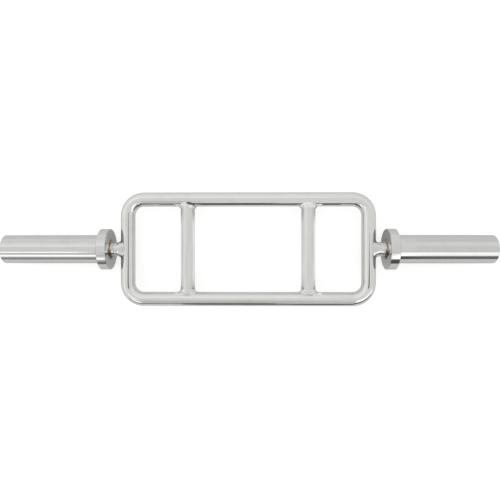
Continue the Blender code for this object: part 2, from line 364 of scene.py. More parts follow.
def bead_section(angle, bead):
    """One section of a bead, at an angle round a branch that leaves a bar along X towards -Y.

    It starts at its buried root, and its face runs from the bar to the branch.
    """
    across, up = cos(angle), sin(angle)
    skin = bar_radius - BEAD_DEPTH
    toe_climb = bead.climb * up
    toe_on_bar = point_on_bar((bar_radius + bead.leg_bar) * across, toe_climb, skin)
    reach = bar_radius + bead.front_leg + (bead.leg - bead.front_leg) * across**2
    toe_on_branch = Vector((skin * across, -reach, skin * up))
    middle = (toe_on_bar + toe_on_branch) / 2
    corner = Vector((toe_on_branch.x, toe_on_bar.y, middle.z))
    bend = middle.lerp(corner, bead.hollow * across**2)
    outward = Vector((across, -cos(toe_climb), sin(toe_climb) + up)).normalized()
    face = []
    for i in range(BEAD_FACE_STEPS + 1):
        share = i / BEAD_FACE_STEPS
        point = toe_on_bar.lerp(bend, share).lerp(bend.lerp(toe_on_branch, share), share)
        face.append(point + outward * bead.crown * up**2 * sin(pi * share))
    root = point_on_bar(ROOT_REACH * across, ROOT_CLIMB * up, ROOT_RADIUS)
    return [root, *face]


def bead_mesh(name, bead):
    """A bead with the numbers that its ripples follow: along it, and across its face."""
    shape = bmesh.new()
    along_layer = shape.verts.layers.float.new("along")
    across_layer = shape.verts.layers.float.new("across")
    rings = []
    for step in range(BEAD_STEPS):
        ring = []
        for i, point in enumerate(bead_section(2 * pi * step / BEAD_STEPS, bead)):
            vertex = shape.verts.new(point)
            vertex[along_layer] = step / BEAD_STEPS
            vertex[across_layer] = max(i - 1, 0) / BEAD_FACE_STEPS
            ring.append(vertex)
        rings.append(ring)
    bridge(shape, rings)
    return closed_mesh(name, shape)


def hexagon(angle, flats):
    """The radius of a hexagon at an angle from the middle of a flat."""
    within = (angle + pi / 6) % (pi / 3) - pi / 6
    return flats / cos(within)


def move(mesh, matrix):
    mesh.transform(matrix)
    mesh.update()


def new_object(name, data):
    """An object in the scene that holds a mesh, a lamp or a camera."""
    made = bpy.data.objects.new(name, data)
    bpy.context.scene.collection.objects.link(made)
    return made


def piece(name, mesh, body, material, node):
    """Puts a finished piece in the scene, with its body and the node it stands for."""
    made = new_object(name, mesh)
    if not mesh.materials:
        mesh.materials.append(material)
    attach(made, body)
    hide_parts(node)


# Nodes


def feed(tree, node, inputs):
    """Sets a node's inputs; a socket among the values is linked."""
    for key, value in inputs.items():
        if isinstance(value, bpy.types.NodeSocket):
            tree.links.new(value, node.inputs[key])
        else:
            node.inputs[key].default_value = value


def add(tree, kind, inputs=None, **settings):
    """A node with its settings and inputs."""
    node = tree.nodes.new(kind)
    for name, value in settings.items():
        setattr(node, name, value)
    feed(tree, node, inputs or {})
    return node


def math(tree, operation, *values, clamp=False):
    """The output of a Math node on one to three numbers or sockets."""
    inputs = dict(enumerate(values))
    return add(tree, "ShaderNodeMath", inputs, operation=operation, use_clamp=clamp).outputs[0]


def times(tree, first, *others):
    """The product of numbers and sockets."""
    for other in others:
        first = math(tree, "MULTIPLY", first, other)
    return first


def plus(tree, start, value, factor):
    """A start with a value added, times a factor."""
    return math(tree, "MULTIPLY_ADD", value, factor, start)


def centred(tree, value):
    return math(tree, "SUBTRACT", value, 0.5)


def split(tree, vector):
    return add(tree, "ShaderNodeSeparateXYZ", {0: vector}).outputs


def ramp(tree, value, low, high):
    """0 below low, 1 above high, and smooth between them."""
    inputs = {"Value": value, "From Min": low, "From Max": high}
    return add(tree, "ShaderNodeMapRange", inputs, interpolation_type="SMOOTHSTEP").outputs[0]


def noise(tree, vector, scale, detail=2.0, roughness=0.5, seed=None):
    inputs = {"Vector": vector, "Scale": scale, "Detail": detail, "Roughness": roughness}
    if seed is None:
        return add(tree, "ShaderNodeTexNoise", inputs).outputs[0]
    inputs["W"] = seed
    return add(tree, "ShaderNodeTexNoise", inputs, noise_dimensions="4D").outputs[0]


def group(kind, name, outputs, inputs):
    """A node group with these named outputs and inputs, and the sockets of its inputs."""
    tree = bpy.data.node_groups.new(name, f"{kind}NodeTree")
    for label, socket_type in outputs.items():
        tree.interface.new_socket(label, in_out="OUTPUT", socket_type=socket_type)
    for label, (socket_type, default) in inputs.items():
        socket = tree.interface.new_socket(label, in_out="INPUT", socket_type=socket_type)
        if default is not None:
            socket.default_value = default
    return tree, add(tree, "NodeGroupInput").outputs


# What a group takes and gives
GEOMETRY = ("NodeSocketGeometry", None)
MATERIAL = ("NodeSocketMaterial", None)
VECTOR = ("NodeSocketVector", None)
SHAPE = {"Geometry": "NodeSocketGeometry"}


def number(default):
    return ("NodeSocketFloat", default)


def numbers(*labels):
    return {label: "NodeSocketFloat" for label in labels}


def end_tree(tree, geometry, material):
    """Ends a tree in Realize Instances and Set Material."""
    real = add(tree, "GeometryNodeRealizeInstances", {"Geometry": geometry}).outputs[0]
    smooth = add(tree, "GeometryNodeSetShadeSmooth", {"Geometry": real}).outputs[0]
    inputs = {"Geometry": smooth, "Material": material}
    painted = add(tree, "GeometryNodeSetMaterial", inputs).outputs[0]
    add(tree, "NodeGroupOutput", {"Geometry": painted})


def bent_bar_tree():
    """A round bar swept along a rounded rectangle."""
    inputs = {
        "Length": number(0.4),
        "Width": number(0.2),
        "Bend Radius": number(0.03),
        "Bar Radius": number(0.01),
        "Step": number(0.002),
        "Sides": ("NodeSocketInt", 64),
        "Material": MATERIAL,
    }
    tree, given = group("Geometry", "Bent bar loop", SHAPE, inputs)

    def step(kind, inputs, **settings):
        return add(tree, f"GeometryNode{kind}", inputs, **settings).outputs[0]

    span = {"Width": given["Length"], "Height": given["Width"]}
    rectangle = step("CurvePrimitiveQuadrilateral", span, mode="RECTANGLE")
    bends = {"Curve": rectangle, "Count": BEND_STEPS, "Radius": given["Bend Radius"]}
    corners = step("FilletCurve", bends, mode="POLY")
    path = step("ResampleCurve", {"Curve": corners, "Length": given["Step"]}, mode="LENGTH")
    bar = {"Resolution": given["Sides"], "Radius": given["Bar Radius"]}
    section = step("CurvePrimitiveCircle", bar, mode="RADIUS")
    swept = step("CurveToMesh", {"Curve": path, "Profile Curve": section})
    end_tree(tree, swept, given["Material"])
    return tree


def weld_ripple_tree():
    """Ripples and unevenness raised on the face of a weld bead."""
    inputs = {
        "Geometry": GEOMETRY,
        "Ripples": number(40.0),
        "Ripple Height": number(0.0003),
        "Unevenness": number(0.0004),
        "Seed": number(0.0),
        "Material": MATERIAL,
    }
    tree, given = group("Geometry", "Weld ripples", SHAPE, inputs)
    along, across = (
        add(tree, "GeometryNodeInputNamedAttribute", {"Name": name}, data_type="FLOAT").outputs[0]
        for name in ("along", "across")
    )
    place = add(tree, "GeometryNodeInputPosition").outputs[0]
    broad, fine = (
        noise(tree, place, scale, detail, seed=given["Seed"])
        for scale, detail in ((330.0, 2.0), (1100.0, 1.0))
    )
    # Each ripple bows forward in the middle of the face and wanders a little
    middle = centred(tree, across)
    bow = times(tree, middle, middle, 3.2)
    phase = math(tree, "ADD", times(tree, along, given["Ripples"]), bow)
    phase = math(tree, "ADD", phase, times(tree, broad, 1.5))
    ripple = math(tree, "SINE", times(tree, math(tree, "FRACT", phase), pi))
    raised = times(tree, ripple, given["Ripple Height"])
    lumps = times(tree, centred(tree, broad), given["Unevenness"], 2.0)
    specks = times(tree, centred(tree, fine), given["Unevenness"])
    lumps = plus(tree, lumps, specks, 0.5)
    # Nothing is raised at the toes
    face = math(tree, "SINE", times(tree, across, pi))
    height = times(tree, math(tree, "ADD", raised, lumps), face)
    normal = add(tree, "GeometryNodeInputNormal").outputs[0]
    scaled = {0: normal, "Scale": height}
    outward = add(tree, "ShaderNodeVectorMath", scaled, operation="SCALE").outputs[0]
    moves = {"Geometry": given["Geometry"], "Offset": outward}
    shaped = add(tree, "GeometryNodeSetPosition", moves).outputs[0]
    end_tree(tree, shaped, given["Material"])
    return tree


def grown(name, mesh, tree, values):
    """The plain mesh that a geometry tree makes from a mesh with these input values."""
    carrier = new_object(name, mesh)
    modifier = carrier.modifiers.new(tree.name, "NODES")
    modifier.node_group = tree
    for item in tree.interface.items_tree:
        if item.item_type == "SOCKET" and item.in_out == "INPUT" and item.name in values:
            modifier[item.identifier] = values[item.name]
    bpy.context.view_layer.update()
    depsgraph = bpy.context.evaluated_depsgraph_get()
    result = bpy.data.meshes.new_from_object(carrier.evaluated_get(depsgraph))
    bpy.data.objects.remove(carrier)
    result.name = name
    return result


# Finishes


# Tints and stains, with painted highlights and shade
# Painted glint: a weld's plate is painted brighter than the frame's, for the glints on its lumps
PAINTED_WELD_GLINT = 1.12  # of a weld's plate, against the frame's
HAZED_SHARE = (0.87, 0.865, 0.85)
STREAK = (0.50, 0.502, 0.49)
# Painted shade in the welds' pits and in the upper left bead's undercut
PAINTED_PIT_SHADE = (0.085, 0.08, 0.072)
# Painted highlight on the neck's end, and painted shade on its side towards -Y
PAINTED_NECK_END_HIGHLIGHT = (0.88, 0.88, 0.86)
PAINTED_NECK_SIDE_SHADE = (0.20, 0.165, 0.125)
NECK_OIL = (0.80, 0.66, 0.52)
FACE_OIL = (0.40, 0.345, 0.285)
OLD_ZINC = (0.42, 0.41, 0.34)
PALE_BRONZE = (0.90, 0.80, 0.66)


def stretched(tree, vector, scale, turn=(0.0, 0.0, 0.0)):
    """Coordinates in which a pattern is drawn out along the axes, and turned."""
    inputs = {"Vector": vector, "Scale": scale, "Rotation": turn}
    return add(tree, "ShaderNodeMapping", inputs, vector_type="TEXTURE").outputs[0]


def plating_group():
    """Haze, hairline scratches and the slow waviness of polished plate."""
    outputs = numbers("Haze", "Scratches", "Waviness")
    inputs = {"Vector": VECTOR, "Wear": number(0.5)}
    tree, given = group("Shader", "Plating", outputs, inputs)
    vector, wear = given["Vector"], given["Wear"]
    cloud = noise(tree, vector, 34.0, 4.0, 0.6)
    smear = noise(tree, stretched(tree, vector, (1.0, 3.2, 1.6), (0.3, 0.2, 0.8)), 60.0, 3.0)
    haze = times(tree, ramp(tree, cloud, 0.42, 0.72), ramp(tree, smear, 0.35, 0.7))
    lines = []
    for turn, scale in (((0.2, 0.5, 0.6), 900.0), ((0.7, 0.1, 2.2), 1200.0)):
        hair = noise(tree, stretched(tree, vector, (14.0, 1.0, 1.0), turn), scale, 1.0)
        lines.append(ramp(tree, hair, 0.66, 0.74))
    patches = ramp(tree, noise(tree, vector, 21.0), 0.45, 0.62)
    results = {
        "Haze": math(tree, "MULTIPLY", haze, wear, clamp=True),
        "Scratches": times(tree, math(tree, "MAXIMUM", *lines), patches, wear),
        "Waviness": noise(tree, vector, 75.0, 2.0, 0.45),
    }
    add(tree, "NodeGroupOutput", results)


def turning_group():
    """Fine uneven rings round the sleeves' axis, on faces and on round surfaces alike."""
    inputs = {"Vector": VECTOR, "Pitch": number(0.00025)}
    tree, given = group("Shader", "Turning rings", numbers("Rings", "Radius"), inputs)
    parts = split(tree, given["Vector"])
    squares = [math(tree, "POWER", parts[i], 2.0) for i in (1, 2)]
    radius = math(tree, "SQRT", math(tree, "ADD", *squares))
    track = math(tree, "ADD", math(tree, "ABSOLUTE", parts[0]), radius)
    place = math(tree, "DIVIDE", track, given["Pitch"])
    inputs = {"W": place, "Scale": 1.0, "Detail": 1.5, "Roughness": 0.6}
    rings = add(tree, "ShaderNodeTexNoise", inputs, noise_dimensions="1D").outputs[0]
    add(tree, "NodeGroupOutput", {"Rings": rings, "Radius": radius})


def grime_group():
    """Patches of grime with a broken edge."""
    inputs = {"Vector": VECTOR, "Scale": number(400.0), "Amount": number(0.5)}
    tree, given = group("Shader", "Grime", numbers("Mask"), inputs)
    cloud = noise(tree, given["Vector"], given["Scale"], 5.0, 0.65)
    edge = math(tree, "SUBTRACT", 0.95, given["Amount"])
    shifted = math(tree, "SUBTRACT", cloud, edge)
    add(tree, "NodeGroupOutput", {"Mask": ramp(tree, shifted, -0.12, 0.12)})


def new_finish(name):
    """A material, its tree and its Principled shader."""
    material = bpy.data.materials.new(name)
    material.use_nodes = True
    return material, material.node_tree, material.node_tree.nodes["Principled BSDF"]


def metal_finish(name):
    """A metal's material, its tree and shader, and the piece's own coordinates."""
    material, tree, surface = new_finish(name)
    feed(tree, surface, {"Metallic": 1.0})
    return material, tree, surface, add(tree, "ShaderNodeTexCoord").outputs["Object"]


def placed_group(tree, name, inputs):
    """The outputs of a group placed in a finish."""
    return add(tree, "ShaderNodeGroup", inputs, node_tree=bpy.data.node_groups[name]).outputs


def mixed(tree, share, first, second):
    """A colour between two, by a share over the surface."""
    node = add(tree, "ShaderNodeMix", {0: share}, data_type="RGBA")
    slots = [i for i, socket in enumerate(node.inputs) if socket.type == "RGBA"]
    for i, colour in zip(slots, (first, second)):
        linked = isinstance(colour, bpy.types.NodeSocket)
        feed(tree, node, {i: colour if linked else (*colour, 1.0)})
    return next(socket for socket in node.outputs if socket.type == "RGBA")


def bumped(tree, surface, layers):
    """Bump nodes in a row, each a height and how deep it is in metres."""
    normal = None
    for height, depth in layers:
        inputs = {"Height": height, "Distance": depth, "Strength": 1.0}
        if normal:
            inputs["Normal"] = normal
        normal = add(tree, "ShaderNodeBump", inputs).outputs[0]
    tree.links.new(normal, surface.inputs["Normal"])


def plated_finish(name, chrome, roughness, wear, wave_depth, extra=None, edge=0.75):
    """Chrome plate; extra takes and gives the colour and the roughness, and adds heights."""
    material, tree, surface, vector = metal_finish(name)
    plating = placed_group(tree, "Plating", {"Vector": vector, "Wear": wear})
    hazed = [channel * share for channel, share in zip(chrome, HAZED_SHARE)]
    tint = mixed(tree, plating["Haze"], chrome, hazed)
    rough = plus(tree, roughness, plating["Haze"], 0.10)
    rough = plus(tree, rough, plating["Scratches"], 0.16)
    layers = [(plating["Waviness"], wave_depth), (plating["Scratches"], -0.000004)]
    if extra:
        tint, rough, more = extra(tree, vector, tint, rough)
        layers += more
    feed(tree, surface, {"Base Color": tint, "Roughness": rough})
    feed(tree, surface, {"Specular Tint": (edge, edge, edge, 1.0)})
    bumped(tree, surface, layers)
    return material


def drawn_lines(tree, vector, tint, rough):
    """Fine lines and faint broader streaks drawn along a handle."""
    lines = noise(tree, stretched(tree, vector, (1.0, 60.0, 1.0)), 1500.0)
    streaks = noise(tree, stretched(tree, vector, (1.0, 30.0, 1.0)), 420.0)
    rough = plus(tree, rough, ramp(tree, lines, 0.4, 0.7), 0.10)
    tint = mixed(tree, ramp(tree, streaks, 0.35, 0.75), tint, STREAK)
    return tint, rough, [(lines, 0.00001)]


def pits_and_shade(tree, vector, tint, rough):
    """Pits in a plated weld, and the undercut where the upper left bead has sagged; both are
    painted near black, as painted shade.
    """
    pits = noise(tree, vector, 430.0, 3.0, 0.6)
    across = add(tree, "ShaderNodeAttribute", attribute_name="across").outputs["Fac"]
    parts = split(tree, vector)
    ragged = centred(tree, noise(tree, vector, 330.0, 3.0))
    place = plus(tree, parts[0], ragged, 0.012)
    undercut_shade = times(
        tree,
        ramp(tree, place, -handle_x - 0.0020, -handle_x + 0.0005),
        ramp(tree, place, -handle_x + 0.0140, -handle_x + 0.0115),
        ramp(tree, plus(tree, across, ragged, 0.7), 0.50, 0.34),
        ramp(tree, parts[1], 0.0, 0.01),
    )
    # Painted shade: the pits and the undercut are painted near black
    pit_shade = times(tree, ramp(tree, pits, 0.60, 0.68), 0.75)
    dark = math(tree, "MAXIMUM", pit_shade, undercut_shade)
    return mixed(tree, dark, tint, PAINTED_PIT_SHADE), plus(tree, rough, dark, 0.35), [(pits, -0.0004)]


def lathe_rings(depth, shade):
    """Rings left by turning, with a depth and a share of roughness."""

    def rings(tree, vector, tint, rough):
        pitch = bpy.context.scene.triceps_bar_sizes.turning_pitch
        turning = placed_group(tree, "Turning rings", {"Vector": vector, "Pitch": pitch})
        return tint, plus(tree, rough, turning["Rings"], shade), [(turning["Rings"], depth)]

    return rings


def oil_film(tree, vector, tint, rough, reach, scale, colour):
    """Old oil and grime, by how far it reaches from 0 to 1 over the surface."""
    grime = placed_group(tree, "Grime", {"Vector": vector, "Scale": scale, "Amount": reach})
    film = times(tree, grime["Mask"], ramp(tree, reach, 0.02, 0.3))
    return mixed(tree, film, tint, colour), plus(tree, rough, film, 0.10)


def neck_stain_and_painted_light(tree, vector, tint, rough):
    """The neck's end, painted brighter as a painted highlight, with painted shade on its side
    towards -Y next to the collar, and oil that has crept out of the bearing.
    """
    parts = split(tree, vector)
    along = math(tree, "ABSOLUTE", parts[0])
    mouth = collar_low.x
    # Painted highlight: the neck's last few millimetres are painted near white
    end_highlight = ramp(tree, along, mouth - 0.0078, mouth - 0.0050)
    tint = mixed(tree, end_highlight, tint, PAINTED_NECK_END_HIGHLIGHT)
    ragged = centred(tree, noise(tree, vector, 700.0, 3.0))
    # Painted shade: the neck is painted dark brown on its side towards -Y, next to the collar
    side_shade = times(
        tree,
        ramp(tree, plus(tree, along, ragged, 0.006), mouth - 0.0042, mouth - 0.0026),
        ramp(tree, plus(tree, parts[1], ragged, 0.008), 0.0005, -0.0025),
        0.9,
    )
    tint = mixed(tree, side_shade, tint, PAINTED_NECK_SIDE_SHADE)
    reach = ramp(tree, along, mouth - 0.0017, mouth - 0.0002)
    tint, rough = oil_film(tree, vector, tint, rough, reach, 420.0, NECK_OIL)
    return tint, rough, []


def collar_face(tree, vector, tint, rough):
    """Lathe rings, and oil from the bearing round the collar's bore."""
    tint, rough, layers = lathe_rings(0.000005, 0.03)(tree, vector, tint, rough)
    radius = placed_group(tree, "Turning rings", {"Vector": vector})["Radius"]
    along = math(tree, "ABSOLUTE", split(tree, vector)[0])
    inside = ramp(tree, along, collar_low.x + 0.0025, collar_low.x + 0.001)
    reach = times(tree, ramp(tree, radius, 0.0205, 0.0168), inside)
    tint, rough = oil_film(tree, vector, tint, rough, reach, 300.0, FACE_OIL)
    return tint, rough, layers


def zinc_finish(colours):
    """Zinc plate gone dull and yellowish, under patches of grease."""
    material, tree, surface, vector = metal_finish("zinc_plating")
    plating = placed_group(tree, "Plating", {"Vector": vector, "Wear": 1.0})
    inputs = {"Vector": vector, "Scale": 260.0, "Amount": 0.42}
    grime = placed_group(tree, "Grime", inputs)["Mask"]
    tint = mixed(tree, plating["Haze"], colours.zinc, OLD_ZINC)
    tint = mixed(tree, grime, tint, colours.grease)
    rough = plus(tree, plus(tree, 0.34, plating["Haze"], 0.2), grime, 0.2)
    metal = math(tree, "SUBTRACT", 1.0, grime)
    feed(tree, surface, {"Base Color": tint, "Roughness": rough, "Metallic": metal})
    bumped(tree, surface, [(noise(tree, vector, 2400.0), 0.00003)])
    return material


def bronze_finish(colours):
    """Sintered bronze with patches of grime, and painted shade in the gap at the bore and on its
    side towards -Y.
    """
    material, tree, surface, vector = metal_finish("bearing_bronze")
    turning = placed_group(tree, "Turning rings", {"Vector": vector, "Pitch": 0.0002})
    inputs = {"Vector": vector, "Scale": 520.0, "Amount": 0.46}
    grime = placed_group(tree, "Grime", inputs)["Mask"]
    tone = noise(tree, vector, 300.0, 4.0, 0.6)
    # Painted shade in the gap between the bush's bore and the neck
    oil = ramp(tree, turning["Radius"], bush_bore + 0.0007, bush_bore + 0.0001)
    # Painted shade: the bush is darker on its side towards -Y
    side = plus(tree, split(tree, vector)[1], tone, 0.008)
    stain = math(tree, "MAXIMUM", oil, grime)
    stain = math(tree, "MAXIMUM", stain, ramp(tree, side, 0.0035, -0.0005))
    tint = mixed(tree, ramp(tree, tone, 0.35, 0.65), colours.bronze, PALE_BRONZE)
    # The grime and the painted shade share the grease colour
    tint = mixed(tree, stain, tint, colours.grease)
    rough, metal = plus(tree, 0.24, tone, 0.25), plus(tree, 1.0, stain, -0.85)
    feed(tree, surface, {"Base Color": tint, "Roughness": rough, "Metallic": metal})
    bumped(tree, surface, [(turning["Rings"], 0.00003), (tone, 0.00006)])
    return material


FINISHES = {}


def make_finishes():
    """Every finish of the bar, by its slot; made once."""
    if FINISHES:
        return FINISHES
    colours = bpy.context.scene.triceps_bar_colours
    plating_group()
    turning_group()
    grime_group()
    chrome, dark, gloss = colours.chrome, colours.sleeve_chrome, colours.chrome_roughness
    satin = colours.handle_roughness
    # The welds' plate is painted brighter, a painted glint
    weld = [PAINTED_WELD_GLINT * channel for channel in chrome]
    rings = lathe_rings(0.0000025, 0.03)
    # Name, colour, roughness, wear, depth of the waviness, what is added, tint at the edges
    plates = {
        "frame_chrome": ("frame_plating", chrome, gloss, 0.5, 0.00009),
        "handle_chrome": ("handle_plating", chrome, satin, 0.4, 0.00005, drawn_lines, 1.0),
        "weld_chrome": ("weld_plating", weld, gloss, 0.8, 0.0001, pits_and_shade),
        "neck_weld": ("neck_weld_plating", dark, gloss, 0.8, 0.00012),
        "spindle_chrome": ("neck_plating", dark, gloss + 0.05, 0.8, 0.0001, neck_stain_and_painted_light),
        "sleeve_chrome": ("sleeve_plating", dark, gloss - 0.01, 0.4, 0.00006, rings),
        "collar_chrome": ("collar_plating", dark, gloss - 0.02, 0.6, 0.00006, collar_face),
    }
    for slot, values in plates.items():
        FINISHES[slot] = plated_finish(*values)
    FINISHES["zinc_plate"] = zinc_finish(colours)
    FINISHES["bronze"] = bronze_finish(colours)
    return FINISHES


# Operators


class PieceOperator(bpy.types.Operator):
    """What the operators share."""

    bl_options = {"REGISTER", "UNDO"}

    @property
    def sizes(self):
        return bpy.context.scene.triceps_bar_sizes

    @property
    def finishes(self):
        return make_finishes()

    def turn(self, side, part, outline, rounding, body, slot, node, steps=ROUND_STEPS):
        """A turned piece of one side."""
        name = f"{side}_{part}"
        mesh = turned_mesh(name, rounded(outline, rounding), SIDES[side], steps)
        piece(name, mesh, body, self.finishes[slot], f"{side}_{node}")


class TRICEPS_OT_loop(PieceOperator):
    """Sweep the frame's loop from round bar"""

    bl_idname = "triceps.loop"
    bl_label = "Frame Loop"

    def execute(self, context):
        material = self.finishes["frame_chrome"]
        values = {
            "Length": 2 * end_bar_x,
            "Width": 2 * long_bar_y,
            "Bend Radius": self.sizes.bend_radius,
            "Bar Radius": bar_radius,
            "Step": LOOP_STEP,
            "Sides": LOOP_SIDES,
            "Material": material,
        }
        carrier = bpy.data.meshes.new("loop_carrier")
        mesh = grown("bent_loop", carrier, bent_bar_tree(), values)
        piece("bent_loop", mesh, "frame", material, "frame_loop")
        return {"FINISHED"}


class TRICEPS_OT_handles(PieceOperator):
    """Cut the two straight handles, which butt against the loop's long bars"""

    bl_idname = "triceps.handles"
    bl_label = "Handles"

    def execute(self, context):
        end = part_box("right_handle")[1].y
        outline = [(-end, 0.0), (-end, bar_radius), (end, bar_radius), (end, 0.0)]
        material = self.finishes["handle_chrome"]
        for name, side in SIDES.items():
            mesh = turned_mesh(f"{name}_grip", rounded(outline, HANDLE_EDGE), steps=BAR_STEPS)
            place = Matrix.Translation((side * handle_x, 0.0, 0.0))
            move(mesh, place @ Matrix.Rotation(pi / 2, 4, "Z"))
            piece(f"{name}_grip", mesh, "frame", material, f"{name}_handle")
        return {"FINISHED"}


class TRICEPS_OT_welds(PieceOperator):
    """Lay the six rippled weld beads round the handles' ends and the necks"""

    bl_idname = "triceps.welds"
    bl_label = "Weld Beads"

    def execute(self, context):
        tree = weld_ripple_tree()
        upper, lower, neck = self.beads()
        seats = []
        for name, side in SIDES.items():
            x = side * handle_x
            end_bar = (side * end_bar_x, 0.0, 0.0)
            seats.append((f"{name}_handle_upper", upper, 1.0, (x, long_bar_y, 0.0), 0.0))
            seats.append((f"{name}_handle_lower", lower, 1.0, (x, -long_bar_y, 0.0), pi))
            seats.append((f"{name}_spindle", neck, NECK_COARSENESS, end_bar, side * pi / 2))
        for seed, (name, bead, coarseness, place, turn) in enumerate(seats):
            material = self.finishes["neck_weld" if bead is neck else "weld_chrome"]
            values = {
                "Ripples": float(self.sizes.ripple_count),
                "Ripple Height": self.sizes.ripple_height * coarseness,
                "Unevenness": WELD_UNEVENNESS * coarseness,
                "Seed": WELD_SEED_STEP * seed,
                "Material": material,
            }
            mesh = grown(f"{name}_bead", bead_mesh(f"{name}_bead", bead), tree, values)
            move(mesh, Matrix.Translation(place) @ Matrix.Rotation(turn, 4, "Z"))
            piece(f"{name}_bead", mesh, "frame", material, f"{name}_weld")
        return {"FINISHED"}

    def beads(self):
        """The three forms of bead: a handle's upper and lower ones, and a neck's."""
        sizes = self.sizes
        legs = zip(sizes.weld_leg, sizes.weld_front_leg, sizes.weld_climb)
        forms = zip(legs, BEAD_CROWNS, BEAD_HOLLOWS)
        return [Bead(sizes.weld_leg_bar, *leg, crown, hollow) for leg, crown, hollow in forms]


class TRICEPS_OT_spindles(PieceOperator):
    """Turn the two spindles, whose necks show beside the collars"""

    bl_idname = "triceps.spindles"
    bl_label = "Spindles"

    def execute(self, context):
        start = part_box("right_spindle")[0].x
        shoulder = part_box("right_thrust_washer")[0].x - GAP
        journal = journal_radius - GAP
        hole_bottom = bolt_low.x - TAPPED_HOLE_SPARE
        outline = [
            (start, 0.0),
            (start, bar_radius),
            (shoulder, bar_radius),
            (shoulder, journal),
            (spindle_high.x, journal),
            (spindle_high.x, bolt_hole_radius),
            (hole_bottom, bolt_hole_radius),
            (hole_bottom - DRILL_POINT, 0.0),
        ]
        slot, node = "spindle_chrome", "spindle"
        for side in SIDES:
            self.turn(side, "neck", outline, NECK_EDGE, "frame", slot, node, BAR_STEPS)
        return {"FINISHED"}


class TRICEPS_OT_collars(PieceOperator):
    """Turn the two collars that the plates rest against"""

    bl_idname = "triceps.collars"
    bl_label = "Collars"

    def execute(self, context):
        inner, plate = collar_low.x, collar_high.x
        chamfer = self.sizes.chamfer
        bore = inner_radius("right_collar")
        seat_radius = tube_radius + GAP
        seat = tube_low.x - GAP
        outline = [
            (inner + BORE_CHAMFER, bore),
            (inner, bore + BORE_CHAMFER),
            (inner, collar_radius - chamfer),
            (inner + chamfer, collar_radius),
            (plate - chamfer, collar_radius),
            (plate, collar_radius - chamfer),
            (plate, seat_radius),
            (seat, seat_radius),
            (seat, bore),
        ]
        edge, slot = self.sizes.edge_round, "collar_chrome"
        for side in SIDES:
            self.turn(side, "flange", outline, edge, f"{side}_sleeve", slot, "collar")
        return {"FINISHED"}


class TRICEPS_OT_tubes(PieceOperator):
    """Turn the two sleeve tubes that carry the plates"""

    bl_idname = "triceps.tubes"
    bl_label = "Sleeve Tubes"

    def execute(self, context):
        chamfer = self.sizes.rim_chamfer
        outline = [
            (tube_low.x, tube_bore),
            (tube_low.x, tube_radius),
            (tube_high.x - chamfer, tube_radius),
            (tube_high.x, tube_radius - chamfer),
            (tube_high.x, tube_bore + RIM_INNER_CHAMFER),
            (tube_high.x - RIM_INNER_CHAMFER, tube_bore),
        ]
        edge, slot = self.sizes.edge_round, "sleeve_chrome"
        for side in SIDES:
            self.turn(side, "tube", outline, edge, f"{side}_sleeve", slot, "sleeve_tube")
        return {"FINISHED"}


class TRICEPS_OT_bushes(PieceOperator):
    """Turn the bronze bushes that the sleeves run on"""

    bl_idname = "triceps.bushes"
    bl_label = "Bushes"

    def execute(self, context):
        nose = inner_radius("right_collar") - GAP
        body = tube_bore - GAP
        shoulder = tube_low.x
        face = bush_low.x + BUSH_RECESS
        inner = [
            (face + 0.0008, bush_bore),
            (face, bush_bore + 0.0007),
            (face, nose - 0.0005),
            (face + 0.0005, nose),
            (shoulder, nose),
            (shoulder, body),
            (bush_high.x, body),
            (bush_high.x, bush_bore),
        ]
        outer = [
            (outer_bush_low.x, journal_radius),
            (outer_bush_low.x, body),
            (outer_bush_high.x, body),
            (outer_bush_high.x, journal_radius),
        ]
        for side in SIDES:
            for end, outline in (("inner", inner), ("outer", outer)):
                part, body, node = f"{end}_bearing", f"{side}_sleeve", f"{end}_bush"
                self.turn(side, part, outline, BUSH_EDGE, body, "bronze", node, SMALL_STEPS)
        return {"FINISHED"}


